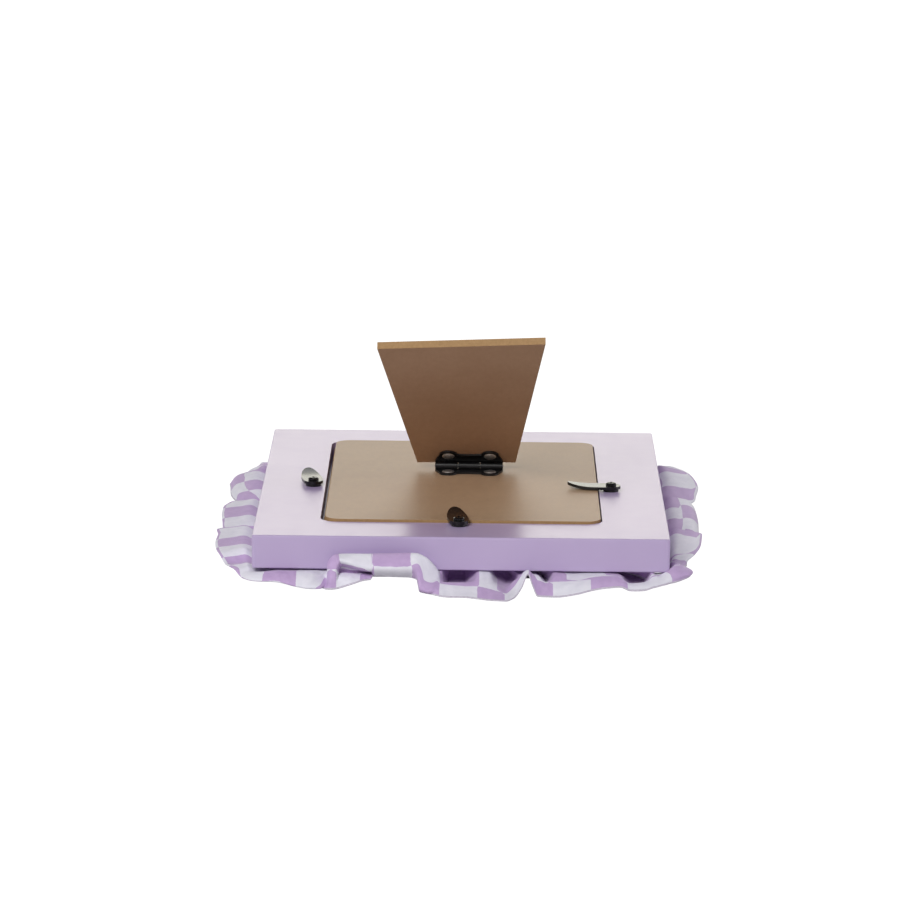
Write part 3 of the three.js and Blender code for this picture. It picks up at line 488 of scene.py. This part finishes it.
# The folds in order along the strip, placed by x or y on a side and by degrees in a corner
FOLDS = {
    "right": [
        bend(-108, (0.8, 8.0), (2.2, 9.0), (3.8, 9.4), (5.2, 9.0), (6.4, 8.0)),
        wave(-98, 8.6, 9.6, 7.8),
        wave(-90, 10.2, 10.0, 6.8, 2.0),
        wave(-78, 11.6, 10.4, 5.6, 5.0),
        wave(-62, 14.7, 10.8, 5.0, 6.0),
        wave(-48, 16.2, 11.0, 5.4, 6.0),
        wave(-40, 16.7, 11.3, 6.0, 6.0),
        wave(-34, 15.5, 7.2, 4.4),
        wave(-26, 17.0, 9.0, 4.6),
        wave(-12, 17.8, 9.8, 5.2),
        wave(4, 18.2, 10.4, 5.8),
        wave(20, 17.8, 10.9, 6.4),
        wave(30, 17.0, 11.2, 6.8),
        wave(37, 14.4, 7.0, 4.4),
        wave(44, 16.9, 8.8, 3.6, 6.0),
        wave(54, 18.4, 9.4, 4.0, 6.0),
        wave(70, 20.2, 10.0, 4.6, 6.0),
        wave(88, 18.2, 10.6, 5.6, 6.0),
        wave(100, 15.2, 10.6, 6.6, 5.0),
        wave(110, 10.6, 9.6, 7.8),
    ],
    "top_right": [
        wave(20, 8.0, 8.0, 6.6),
        wave(45, 8.0, 6.0, 3.6),
        wave(70, 9.0, 7.6, 5.0),
    ],
    "top": [
        wave(84, 11.0, 8.6, 6.4),
        wave(72, 16.0, 10.8, 7.0),
        wave(58, 19.0, 10.0, 6.0),
        wave(46, 19.0, 8.0, 3.4),
        wave(38, 17.0, 5.0, 1.4),
        wave(31, 18.0, 8.4, 5.6),
        wave(22, 21.6, 11.4, 7.4),
        wave(4, 24.2, 10.6, 6.0),
        wave(-14, 21.6, 8.8, 3.6),
        wave(-22, 17.0, 5.2, 1.4),
        wave(-30, 18.0, 9.0, 6.0),
        wave(-38, 19.0, 11.2, 7.6),
        wave(-56, 19.0, 10.4, 6.2),
        wave(-72, 16.0, 9.6, 5.4),
        wave(-84, 11.0, 8.4, 5.4),
    ],
    "top_left": [
        wave(20, 8.6, 7.4, 5.0),
        wave(45, 8.0, 6.0, 3.6),
        wave(70, 8.0, 8.0, 6.4),
    ],
    "left": [
        wave(112, 6.4, 8.6, 6.6),
        wave(101, 9.6, 10.0, 6.4),
        wave(91, 13.0, 10.8, 5.8),
        wave(87, 13.8, 10.8, 5.6),
        wave(83.5, 19.2, 10.6, 4.8),
        wave(78, 20.2, 10.6, 4.8),
        wave(72, 19.6, 10.2, 4.2),
        wave(61, 18.8, 9.6, 3.2),
        wave(50, 16.6, 8.8, 2.8, 0.5),
        wave(39, 12.2, 7.4, 3.2, 1.0),
        wave(29, 9.4, 5.8, 3.0, 1.0),
        wave(23, 12.6, 8.4, 6.0),
        wave(16, 16.1, 10.8, 7.2, 5.0),
        wave(6, 18.0, 11.2, 6.8, 6.0),
        wave(-4, 18.4, 10.8, 5.8, 6.0),
        wave(-18, 17.3, 9.8, 4.8, 6.0),
        wave(-30, 16.2, 8.8, 3.8, 6.0),
        wave(-37, 14.4, 6.6, 3.6),
        wave(-43, 18.7, 11.2, 7.0, 6.0),
        wave(-51, 17.6, 10.8, 6.2, 6.0),
        wave(-63, 18.2, 10.2, 5.2, 6.0),
        wave(-76, 16.9, 9.6, 5.0, 6.0),
        wave(-86, 14.9, 10.6, 4.8, 6.0),
        wave(-96, 11.0, 5.6, 3.8, 6.0),
        wave(-105, 9.2, 8.2, 4.6, 6.0),
    ],
    "bottom_left": [
        wave(10, 6.0, 8.6, 5.0, 5.0),
        bend(32, (0.6, 6.6), (2.4, 7.0), (4.8, 6.4), (6.8, 5.0), (-2.0, 3.6)),
        bend(58, (0.6, 7.0), (2.6, 7.4), (5.4, 6.6), (7.6, 5.0), (-1.4, 3.6)),
        bend(80, (0.6, 7.6), (2.8, 8.0), (6.0, 7.2), (8.4, 5.2), (-0.6, 3.8)),
    ],
    "bottom": [
        bend(-84, (0.6, 8.0), (3.0, 8.3), (6.4, 7.4), (8.9, 5.1), (0.4, 3.4)),
        bend(-75, (0.6, 8.0), (3.4, 8.4), (7.4, 7.0), (10.4, 3.8), (1.0, 2.4)),
        bend(-68, (0.6, 8.0), (3.6, 8.3), (8.4, 6.4), (11.8, 3.0), (2.0, 1.8)),
        bend(-63.5, (0.4, 7.2), (2.8, 6.8), (6.8, 5.6), (11.4, 2.8), (4.0, 1.6)),
        bend(-60.8, (0.4, 6.4), (2.2, 5.2), (5.0, 4.6), (8.6, 3.4), (11.2, 2.2)),
        bend(-58.6, (1.2, 8.0), (4.6, 13.4), (8.2, 10.6), (10.8, 6.4), (11.4, 2.2), -1.4, 0),
        bend(-56.4, (1.4, 8.3), (5.2, 16.8), (9.4, 12.8), (10.4, 7.2), (11.3, 2.4), -0.8, 0),
        bend(-54, (1.4, 8.3), (5.5, 17.4), (9.8, 16.0), (-1.6, 8.4), (11.3, 3.0), lip=(8.0, 7.4)),
        bend(-48.5, (1.4, 8.3), (5.7, 17.6), (10.4, 14.4), (-1.2, 8.2), (11.5, 5.0), lip=(8.8, 6.9)),
        bend(-43.5, (1.4, 8.3), (5.8, 17.6), (10.8, 12.6), (-1.6, 7.8), (10.8, 6.6), lip=(8.8, 7.4)),
        bend(-40.6, (1.4, 8.3), (5.9, 17.7), (11.0, 12.4), (-3.2, 7.6), (10.2, 6.9), lip=(9.0, 7.3)),
        bend(-39.8, (1.4, 8.3), (6.0, 17.8), (11.2, 12.4), (5.8, 7.8), (5.2, 7.4)),
        bend(-31, (1.4, 8.3), (6.0, 18.0), (11.4, 12.6), (6.0, 7.6), (5.2, 7.2)),
        bend(-24, (1.4, 8.3), (6.0, 18.3), (11.2, 12.7), (6.2, 7.6), (5.4, 7.2)),
        bend(-20, (1.4, 8.3), (6.0, 18.2), (10.8, 12.4), (8.6, 7.8), (7.4, 6.6)),
        bend(-18, (1.2, 8.2), (6.0, 16.8), (10.2, 11.0), (12.0, 6.6), (9.4, 4.0), 1.5, -1.0),
        bend(-15.5, (0.8, 8.0), (5.0, 13.6), (9.4, 8.6), (13.2, 2.8), (9.8, 1.0), 2.5, -2.5),
        bend(-12.5, (0.4, 7.6), (3.6, 10.0), (8.0, 6.4), (14.2, 2.0), (12.0, 0.8), 2.0, -1.5),
        bend(-9, (0.4, 8.0), (3.0, 5.8), (7.2, 4.8), (12.0, 3.0), (15.8, 0.8)),
        bend(-5.5, (-18.0, 1.8), (-5.0, 1.2), (6.8, 4.6), (12.4, 2.8), (16.6, 0.8)),
        bend(1.5, (-18.0, 1.8), (-5.0, 1.2), (6.8, 4.6), (13.0, 2.8), (18.4, 0.8)),
        bend(5, (-6.0, 4.0), (1.0, 3.8), (7.4, 5.2), (13.6, 3.0), (19.2, 0.8)),
        bend(8.5, (0.6, 8.1), (3.6, 7.6), (8.2, 6.0), (14.2, 3.4), (20.0, 0.8)),
        bend(13, (0.4, 7.6), (3.6, 6.8), (8.4, 5.6), (15.2, 3.2), (22.0, 0.8)),
        bend(17, (-8.0, 3.0), (-1.0, 2.8), (9.6, 4.0), (16.0, 2.6), (23.6, 0.8)),
        bend(20.5, (-18.0, 1.8), (-4.0, 1.2), (12.0, 2.4), (18.0, 1.8), (24.4, 0.8)),
        bend(24, (-16.0, 2.2), (-4.0, 1.6), (6.8, 5.6), (14.6, 3.2), (20.5, 1.2)),
        bend(27.5, (0.4, 7.2), (3.4, 8.2), (7.0, 8.2), (11.4, 6.4), (15.0, 4.6)),
        bend(30.5, (1.0, 8.3), (3.8, 10.4), (6.2, 10.8), (8.0, 10.4), (9.4, 9.8)),
        bend(32.6, (0.6, 7.6), (3.6, 8.6), (6.8, 8.6), (10.0, 7.2), (12.4, 5.2)),
        bend(35, (0.4, 7.0), (2.6, 7.8), (5.8, 7.8), (10.6, 4.6), (15.0, 1.0)),
        bend(38.5, (-15.0, 2.2), (-3.0, 1.8), (6.8, 5.4), (11.6, 3.4), (15.0, 0.8)),
        bend(43, (0.5, 8.0), (3.6, 7.6), (7.6, 6.2), (12.0, 3.8), (15.0, 0.8)),
        bend(52, (0.4, 7.4), (3.6, 7.2), (7.2, 6.6), (12.0, 4.6), (15.2, 2.1)),
        bend(59.5, (0.8, 8.0), (4.0, 8.0), (7.0, 7.3), (11.0, 5.6), (13.6, 3.5)),
        bend(66, (0.8, 8.1), (4.0, 8.2), (7.0, 7.7), (10.5, 6.3), (12.6, 4.3)),
        bend(72.5, (0.6, 7.6), (3.5, 7.6), (6.5, 7.3), (10.0, 6.3), (12.2, 4.9)),
        bend(77, (-16.0, 2.0), (-3.0, 1.6), (6.0, 5.2), (10.0, 4.7), (11.6, 3.4)),
        bend(83, (-16.0, 2.0), (-3.0, 2.0), (5.5, 5.6), (9.8, 5.0), (12.0, 3.6)),
    ],
    "bottom_right": [
        bend(2, (0.4, 8.7), (2.4, 8.3), (5.4, 7.0), (9.0, 5.6), (11.0, 4.6)),
        bend(15, (0.4, 7.8), (2.6, 7.8), (5.4, 7.4), (8.2, 6.2), (9.8, 5.2)),
        bend(35, (0.6, 8.3), (2.8, 9.4), (5.2, 9.0), (7.0, 7.2), (7.0, 5.2)),
        bend(60, (0.8, 8.3), (3.0, 11.2), (5.8, 10.0), (8.0, 7.6), (7.4, 5.6)),
        bend(87, (0.8, 8.3), (3.2, 11.6), (6.6, 10.0), (10.6, 7.6), (9.4, 6.2)),
        bend(118, (0.8, 8.2), (3.0, 11.2), (5.4, 10.2), (7.4, 8.0), (6.6, 5.4)),
    ],
}

# Where squares of the check meet along the bottom edge and the right side, on the hem's row and on the row
# above it: place, and how many squares along. Places below -87 run on round the corner and up the left side.
CORNER_MARKS = [(-150.9, -3), (-137, -2), (-121, -1), (-104.5, 0), (-88.4, 1), (-74.5, 2)]
HEM_MARKS = CORNER_MARKS + [
    (-56.2, 3), (-45.4, 4), (-39.1, 5), (-21.8, 6), (-9.5, 7), (7.7, 8), (20, 9), (30.8, 10), (41.8, 11),
    (59, 12), (75.5, 13), (92, 14), (110, 15),
]
UPPER_MARKS = CORNER_MARKS + [
    (-59.8, 3), (-40.4, 4), (-40, 5), (-22.7, 6), (-9.5, 7), (8.5, 8), (16.5, 9), (31, 10), (39, 11),
    (48, 12), (66, 13), (84, 14), (84.6, 15), (112, 16),
]
RIGHT_HEM_MARKS = [(-80, 0), (-26, 1), (-6.5, 2), (17.9, 3), (80, 4), (96, 5)]
RIGHT_UPPER_MARKS = [(-90, 0), (-49, 1), (-11.4, 2), (9.2, 3), (62, 4), (91.5, 5)]
HEM_ROW = 9.0  # the hem cuts the last row of squares to this width
ROW_BLEND_START = 7.5  # distance from the hem at which the upper row's marks start to take over
ROW_BLEND = 3.0
THIRD_ROW_END = -40  # on the bottom edge; past this place the third row of squares stays up in the heading
LAST_ROW_SHARE = 0.96  # there the row above the hem keeps just under a square's width

STRIP_ROWS = 1800  # points along the strip
SECTION_STEPS = [2, 6, 6, 8, 8, 4, 4]  # points across it, between one section point and the next
LENGTH_LINE = -14  # the line of points, counted from the hem, that the strip's length is measured on

# Soft creases that cross the strip: their height and the lengths that they vary over
CREASE_HEIGHT = 0.22
CREASE_LENGTH = 3.7
CREASE_SHIFT_LENGTH = 17
CREASE_SHIFT = 1.7
CREASE_FADE_LENGTH = 23
CREASE_FADE_START = 0.6
CREASE_FROM = 0.4  # share of the way from heading to hem
CREASE_GROWTH = 2.0  # full height after half of that way more

# The overlocked edging: an oval tube over the hem
EDGING_SIDES = 8
EDGING_IN = 0.3
EDGING_HALF_WIDTH = 0.5
EDGING_HALF_THICKNESS = 0.32
EDGING_CLEAR_OF_TABLE = 0.15
EDGING_SIDE_MM = 0.5  # one side of the tube, on the thread's own map

# The strip goes round these in turn: each side with its heading in degrees, and the corner at its end
STRAIGHTS = [("right", 90), ("top", 180), ("left", 270), ("bottom", 360)]
CORNER_NAMES = ["top_right", "top_left", "bottom_left", "bottom_right"]
CORNER_WAYS = [(1, 1), (-1, 1), (-1, -1), (1, -1)]


def straight_length(name, inset, corner):
    """The straight part of a side, on a rounded rectangle inside the wall."""
    half = HALF_LENGTH if name in ("right", "left") else HALF_WIDTH
    return 2 * (half - inset - corner)


def side_starts():
    """The distance along the wall at which each side and each corner starts."""
    starts = {}
    walked = 0.0
    for (name, _), corner in zip(STRAIGHTS, CORNER_NAMES):
        starts[name] = walked
        walked += straight_length(name, 0, WALL_CORNER)
        starts[corner] = walked
        walked += WALL_CORNER * math.pi / 2
    return starts


STARTS = side_starts()


def walked_to(name, at):
    """The distance along the wall of a place on a side, or of an angle in a corner."""
    if name in CORNER_NAMES:
        return STARTS[name] + math.radians(at) * WALL_CORNER
    sense = 1 if name in ("right", "bottom") else -1
    return STARTS[name] + straight_length(name, 0, WALL_CORNER) / 2 + sense * at


def ring_points(walked, inset, corner):
    """Points on a rounded rectangle inside the wall, and the ways out, at the same share of each side."""
    ring = np.zeros(walked.shape + (2,))
    out = np.zeros(walked.shape + (2,))
    for (name, heading), bend_name, way in zip(STRAIGHTS, CORNER_NAMES, CORNER_WAYS):
        middle = np.array([way[0] * (HALF_WIDTH - inset - corner), way[1] * (HALF_LENGTH - inset - corner)])
        ahead = np.array([math.cos(math.radians(heading)), math.sin(math.radians(heading))])
        away = np.array([ahead[1], -ahead[0]])
        straight = straight_length(name, inset, corner)
        share = (walked - STARTS[bend_name]) / (STARTS[bend_name] - STARTS[name])
        on_side = (share < 0) & ((share >= -1) | (name == "right"))
        ring[on_side] = middle + away * corner + ahead * share[on_side][..., None] * straight
        out[on_side] = away
        turn = (walked - STARTS[bend_name]) / WALL_CORNER
        in_bend = (turn >= 0) & ((turn < math.pi / 2) | (bend_name == "bottom_right"))
        angle = math.radians(heading - 90) + turn[in_bend]
        away = np.stack([np.cos(angle), np.sin(angle)], -1)
        ring[in_bend] = middle + away * corner
        out[in_bend] = away
    return ring, out


def eased(places, values, at):
    """A smooth run through the values that never overshoots them (monotone cubic)."""
    gap = np.diff(places)
    slope = np.diff(values) / gap
    tangent = np.zeros(len(values))
    same_way = slope[:-1] * slope[1:] > 0
    harmonic = 2 * slope[:-1] * slope[1:] / np.where(same_way, slope[:-1] + slope[1:], 1)
    tangent[1:-1] = np.where(same_way, harmonic, 0)
    i = np.clip(np.searchsorted(places, at) - 1, 0, len(gap) - 1)
    u = np.clip((at - places[i]) / gap[i], 0, 1)
    rise = u * u * (3 - 2 * u)
    return (values[i] + (values[i + 1] - values[i]) * rise
            + gap[i] * (tangent[i] * u * (1 - u) ** 2 - tangent[i + 1] * u * u * (1 - u)))


def section_curve(points, steps):
    """A smooth curve through each row of section points, as columns of the cloth."""
    count = points.shape[1]
    ahead = np.concatenate([points[:, 1:], 2 * points[:, -1:] - points[:, -2:-1]], 1)
    behind = np.concatenate([2 * points[:, :1] - points[:, 1:2], points[:, :-1]], 1)
    before = np.linalg.norm(points - behind, axis=-1, keepdims=True)
    after = np.linalg.norm(ahead - points, axis=-1, keepdims=True)
    way = ((points - behind) / before * after + (ahead - points) / after * before) / (before + after)
    columns = []
    for k in range(count - 1):
        span = np.linalg.norm(points[:, k + 1] - points[:, k], axis=-1, keepdims=True)
        for u in np.arange(steps[k]) / steps[k]:
            start = 2 * u ** 3 - 3 * u ** 2 + 1
            columns.append(start * points[:, k] + (1 - start) * points[:, k + 1]
                           + (u ** 3 - 2 * u ** 2 + u) * way[:, k] * span
                           + (u ** 3 - u ** 2) * way[:, k + 1] * span)
    columns.append(points[:, -1])
    return np.stack(columns, 1)


def lengths_along(grid, axis):
    """Running length of the cloth's lines along one axis of its grid."""
    step = np.linalg.norm(np.diff(grid, axis=axis), axis=-1)
    zero = np.zeros_like(np.take(step, [0], axis=axis))
    return np.concatenate([zero, np.cumsum(step, axis=axis)], axis)


def squares_along(walked, along, bottom_marks, right_marks):
    """The squares counted along the strip: set by marks on two edges, by cloth length elsewhere."""
    counted = []
    for side, marks in (("right", right_marks), ("bottom", bottom_marks)):
        places = np.array([walked_to(side, at) for at, _ in marks])
        counts = np.array([float(count) for _, count in marks])
        lengths = np.interp(places, walked, along)
        before = counts[0] + (along - lengths[0]) / CHECK
        after = counts[-1] + (along - lengths[-1]) / CHECK
        between = np.interp(walked, places, counts)
        counted.append(np.where(walked < places[0], before, np.where(walked > places[-1], after, between)))
    by_right, by_bottom = counted

    # The two counts meet on the top edge, where a whole number of pairs apart keeps the colours in step
    far_edge = np.searchsorted(walked, STARTS["top"])
    by_right = by_right + 2 * np.round((by_bottom - by_right)[far_edge] / 2)
    share = np.clip((walked - STARTS["top"]) / (STARTS["top_left"] - STARTS["top"]), 0, 1)
    return by_right * (1 - share) + by_bottom * share


def cloth_grid():
    """The cloth's middle surface as a grid of points, with its cloth coordinates."""
    folds = [(walked_to(name, at), *sizes) for name, side in FOLDS.items() for at, *sizes in side]
    table = np.array(folds, float)
    places = table[:, 0]
    walked = np.linspace(places[0], places[-1], STRIP_ROWS)
    *sections, crown_lean, hem_lean = [eased(places, sizes, walked) for sizes in table[:, 1:].T]
    outs, ups = sections[0::2], sections[1::2]
    rings = []
    for inset, corner in ((HEADING_INNER, HEADING_CORNER), (HEADING_OUTER, HEADING_CORNER + HEADING)):
        ring, _ = ring_points(np.minimum(walked, walked_to("bottom_right", 90)), inset, corner)
        rings.append(np.concatenate([ring, np.full((len(walked), 1), HEADING_UP)], -1))
    leans = [0 * crown_lean, crown_lean, (crown_lean + hem_lean) / 2, hem_lean, hem_lean, hem_lean]
    for out, up, lean in zip(outs, ups, leans):
        foot, away = ring_points(walked + lean, 0, WALL_CORNER)
        rings.append(np.concatenate([foot + away * out[:, None], up[:, None]], -1))
    grid = section_curve(np.stack(rings, 1), SECTION_STEPS)

    # The creases start beyond the wall and are strongest out at the hem
    share = np.linspace(0, 1, grid.shape[1])
    crease = (np.sin(walked / CREASE_LENGTH + CREASE_SHIFT * np.sin(walked / CREASE_SHIFT_LENGTH))
              * np.sin(walked / CREASE_FADE_LENGTH + CREASE_FADE_START))
    grid[..., 2] += CREASE_HEIGHT * crease[:, None] * np.clip(CREASE_GROWTH * (share - CREASE_FROM), 0, 1)
    grid[..., 2] = np.maximum(grid[..., 2], CLEAR_OF_TABLE)

    across = lengths_along(grid, 1)
    from_hem = across[:, -1:] - across
    along = lengths_along(grid, 0)[:, LENGTH_LINE]
    hem = squares_along(walked, along, HEM_MARKS, RIGHT_HEM_MARKS)
    upper = squares_along(walked, along, UPPER_MARKS, RIGHT_UPPER_MARKS)
    blend = np.clip((from_hem - ROW_BLEND_START) / ROW_BLEND, 0, 1)
    squares = hem[:, None] * (1 - blend) + upper[:, None] * blend
    two_rows = np.minimum(from_hem, HEM_ROW + LAST_ROW_SHARE * CHECK)
    tucked_in = walked[:, None] > walked_to("bottom", THIRD_ROW_END)
    row = np.where(tucked_in, two_rows, from_hem) + CHECK - HEM_ROW
    cloth = np.stack([squares * CHECK, row], -1)
    return grid, cloth


def mesh_piece(name, points, faces, cloth, material):
    """A smooth mesh from points in millimetres, with its cloth coordinates as a UV map."""
    data = bpy.data.meshes.new(name)
    data.from_pydata([tuple(p * MM) for p in points], [], faces)
    layer = data.uv_layers.new(name="cloth_mm")
    corners = np.array([v for face in faces for v in face])
    layer.data.foreach_set("uv", cloth[corners].astype(np.float32).ravel())
    data.polygons.foreach_set("use_smooth", [True] * len(faces))
    data.materials.append(material)
    data.update()
    piece = bpy.data.objects.new(name, data)
    bpy.context.scene.collection.objects.link(piece)
    return piece


def grid_faces(rows, columns, closed=False):
    """Four-sided faces of a grid of points, with its columns joined round if it is a tube."""
    faces = []
    for i in range(rows - 1):
        for j in range(columns if closed else columns - 1):
            near, far = i * columns + j, i * columns + (j + 1) % columns
            faces.append((near, far, far + columns, near + columns))
    return faces


def make_cloth(grid, cloth, cotton):
    """The ruffle's cloth, with a thickness."""
    faces = grid_faces(*grid.shape[:2])
    ruffle = mesh_piece("ruffle_cloth", grid.reshape(-1, 3), faces, cloth.reshape(-1, 2), cotton)
    thick = ruffle.modifiers.new("cloth_thickness", "SOLIDIFY")
    thick.thickness = CLOTH * MM
    thick.offset = 0.0
    bpy.context.view_layer.objects.active = ruffle
    ruffle.select_set(True)
    bpy.ops.object.modifier_apply(modifier="cloth_thickness")
    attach(ruffle, "frame")
    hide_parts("ruffle")
    return ruffle


def make_hem(grid, cloth, thread):
    """The overlocked hem, a thin rounded edging."""
    rows = len(grid)
    edge = grid[:, -1]
    inward = grid[:, -3] - edge
    inward /= np.linalg.norm(inward, axis=-1, keepdims=True)
    forward = np.gradient(edge, axis=0)
    forward /= np.linalg.norm(forward, axis=-1, keepdims=True)
    normal = np.cross(forward, inward)
    normal /= np.linalg.norm(normal, axis=-1, keepdims=True)
    ring = []
    for k in range(EDGING_SIDES):
        angle = 2 * math.pi * k / EDGING_SIDES
        ring.append(edge + inward * (EDGING_IN + EDGING_HALF_WIDTH * math.cos(angle))
                    + normal * EDGING_HALF_THICKNESS * math.sin(angle))
    tube = np.stack(ring, 1)
    tube[..., 2] = np.maximum(tube[..., 2], EDGING_CLEAR_OF_TABLE)
    lengthwise = np.repeat(cloth[:, -1:, 0], EDGING_SIDES, 1)
    around = np.tile(np.arange(EDGING_SIDES) * EDGING_SIDE_MM, (rows, 1))
    wrapped = np.stack([lengthwise, around], -1)
    faces = grid_faces(rows, EDGING_SIDES, closed=True)
    faces.append(tuple(range(EDGING_SIDES)))
    faces.append(tuple((rows - 1) * EDGING_SIDES + k for k in reversed(range(EDGING_SIDES))))
    hem = mesh_piece("ruffle_hem", tube.reshape(-1, 3), faces, wrapped.reshape(-1, 2), thread)
    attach(hem, "frame")
    return hem


def make_ruffle(cotton, thread):
    """The ruffle and its hem, as one sheet whose flat size is measured on the folds."""
    grid, cloth = cloth_grid()
    ruffle = make_cloth(grid, cloth, cotton)
    hem = make_hem(grid, cloth, thread)


# Finishes on the pieces that keep their own shape
STRUT_OPEN = math.radians(37)  # from the back, at rest


def dress(names, material):
    """Gives one finish to each of the named pieces."""
    for name in names:
        data = NODES[name].data
        data.materials.clear()
        data.materials.append(material)


def dress_pieces():
    edges = ["right", "top", "left", "bottom"]
    strut_up = Vector((0.0, math.sin(STRUT_OPEN), math.cos(STRUT_OPEN)))
    dress(["frame_body", "front_fascia"], satin_lilac_paint())
    dress(["back_panel"], raw_fibreboard("fibreboard_back", (0, 0, 1), "#AC8D6F", "#B99B7B"))
    dress(["strut"], raw_fibreboard("fibreboard_strut", strut_up, "#A88567", "#B59274"))
    dress(["hinge_panel_leaf", "hinge_strut_leaf"], black_enamel("black_enamel_hinge", 0.3, 0.45))
    dress([f"turn_button_{edge}" for edge in edges], black_enamel("black_enamel_button", 0.16, 0.28))
    dress([f"button_washer_{edge}" for edge in edges], black_enamel("black_enamel_washer", 0.35, 0.5))
    dress([f"button_screw_{edge}" for edge in edges], black_enamel("black_enamel_screw", 0.2, 0.35))
    rivets = [f"{piece}_rivet_{side}" for piece in ("panel", "strut") for side in ("left", "right")]
    dress(["hinge_pin"] + rivets, nickel_plate())
    dress(["glazing_pane"], float_glass())
    dress(["photo_insert"], coated_paper())
    dress(["filler_card"], kraft_card())


# The studio: white floor, dim surround, a soft key from the front, two panels behind and a fill each side
FLOOR_HALF = 6.0  # metres
FLOOR_DROP = 0.0003  # keeps the floor just clear of what lies on it
FLOOR_GLOW = 1.2
GLOW_SHARE = 0.9  # how much of what the camera sees of the floor is its own glow
SURROUND = 0.06


def area_light(name, place, aim, size, power, colour):
    """A soft rectangular light, out of the camera's sight."""
    data = bpy.data.lights.new(name, "AREA")
    data.shape = "RECTANGLE"
    data.size, data.size_y = size
    data.energy = power
    data.color = linear(colour)[:3]
    lamp = bpy.data.objects.new(name, data)
    bpy.context.scene.collection.objects.link(lamp)
    lamp.location = place
    lamp.rotation_euler = (Vector(aim) - Vector(place)).to_track_quat("-Z", "Y").to_euler()
    lamp.visible_camera = False


def make_floor():
    """A matt white floor that looks as bright as the photograph's white ground."""
    floor_data = bpy.data.meshes.new("floor")
    corners = [(FLOOR_HALF * x, FLOOR_HALF * y, 0) for x, y in ((-1, -1), (1, -1), (1, 1), (-1, 1))]
    floor_data.from_pydata(corners, [], [(0, 1, 2, 3)])
    floor = bpy.data.objects.new("floor", floor_data)
    floor.location.z = -FLOOR_DROP
    bpy.context.scene.collection.objects.link(floor)
    material, tree = new_material("white_studio_floor")
    seen = add_node(tree, "ShaderNodeLightPath").outputs["Is Camera Ray"]
    matt = add_node(tree, "ShaderNodeBsdfDiffuse", {"Color": linear("#E7E7E7")})
    glow = add_node(tree, "ShaderNodeEmission", {"Color": linear("#FFFFFF"), "Strength": FLOOR_GLOW})
    lifted = add_node(tree, "ShaderNodeMixShader", {0: GLOW_SHARE, 1: matt.outputs[0], 2: glow.outputs[0]})
    surface = add_node(tree, "ShaderNodeMixShader", {0: seen, 1: matt.outputs[0], 2: lifted.outputs[0]})
    add_node(tree, "ShaderNodeOutputMaterial", {"Surface": surface.outputs[0]})
    floor_data.materials.append(material)


def make_studio():
    make_floor()
    world = bpy.data.worlds.new("white_studio")
    bpy.context.scene.world = world
    world.use_nodes = True
    background = world.node_tree.nodes["Background"]
    background.inputs["Color"].default_value = linear("#FFFFFF")
    background.inputs["Strength"].default_value = SURROUND
    area_light("softbox_front", (-0.8, -2.3, 1.7), (0, 0, 0.05), (1.6, 1.0), 63.0, "#FFFFFF")
    area_light("panel_behind", (0, 2.7, 0.7), (0, 0, 0.1), (4.0, 1.2), 31.5, "#FFFDF1")
    area_light("panel_above", (0, 2.3, 1.75), (0, 0, 0.03), (1.6, 0.9), 8.0, "#FFFFFF")
    area_light("fill_left", (-2.4, 0.0, 0.5), (0, 0, 0.03), (1.4, 0.8), 6.0, "#F4F0FF")
    area_light("fill_right", (2.4, 0.0, 0.5), (0, 0, 0.03), (1.4, 0.8), 17.0, "#F4F0FF")
    bpy.context.scene.view_settings.view_transform = "Standard"


make_camera()
dress_pieces()
make_ruffle(checked_cotton(), overlock_thread())
make_studio()
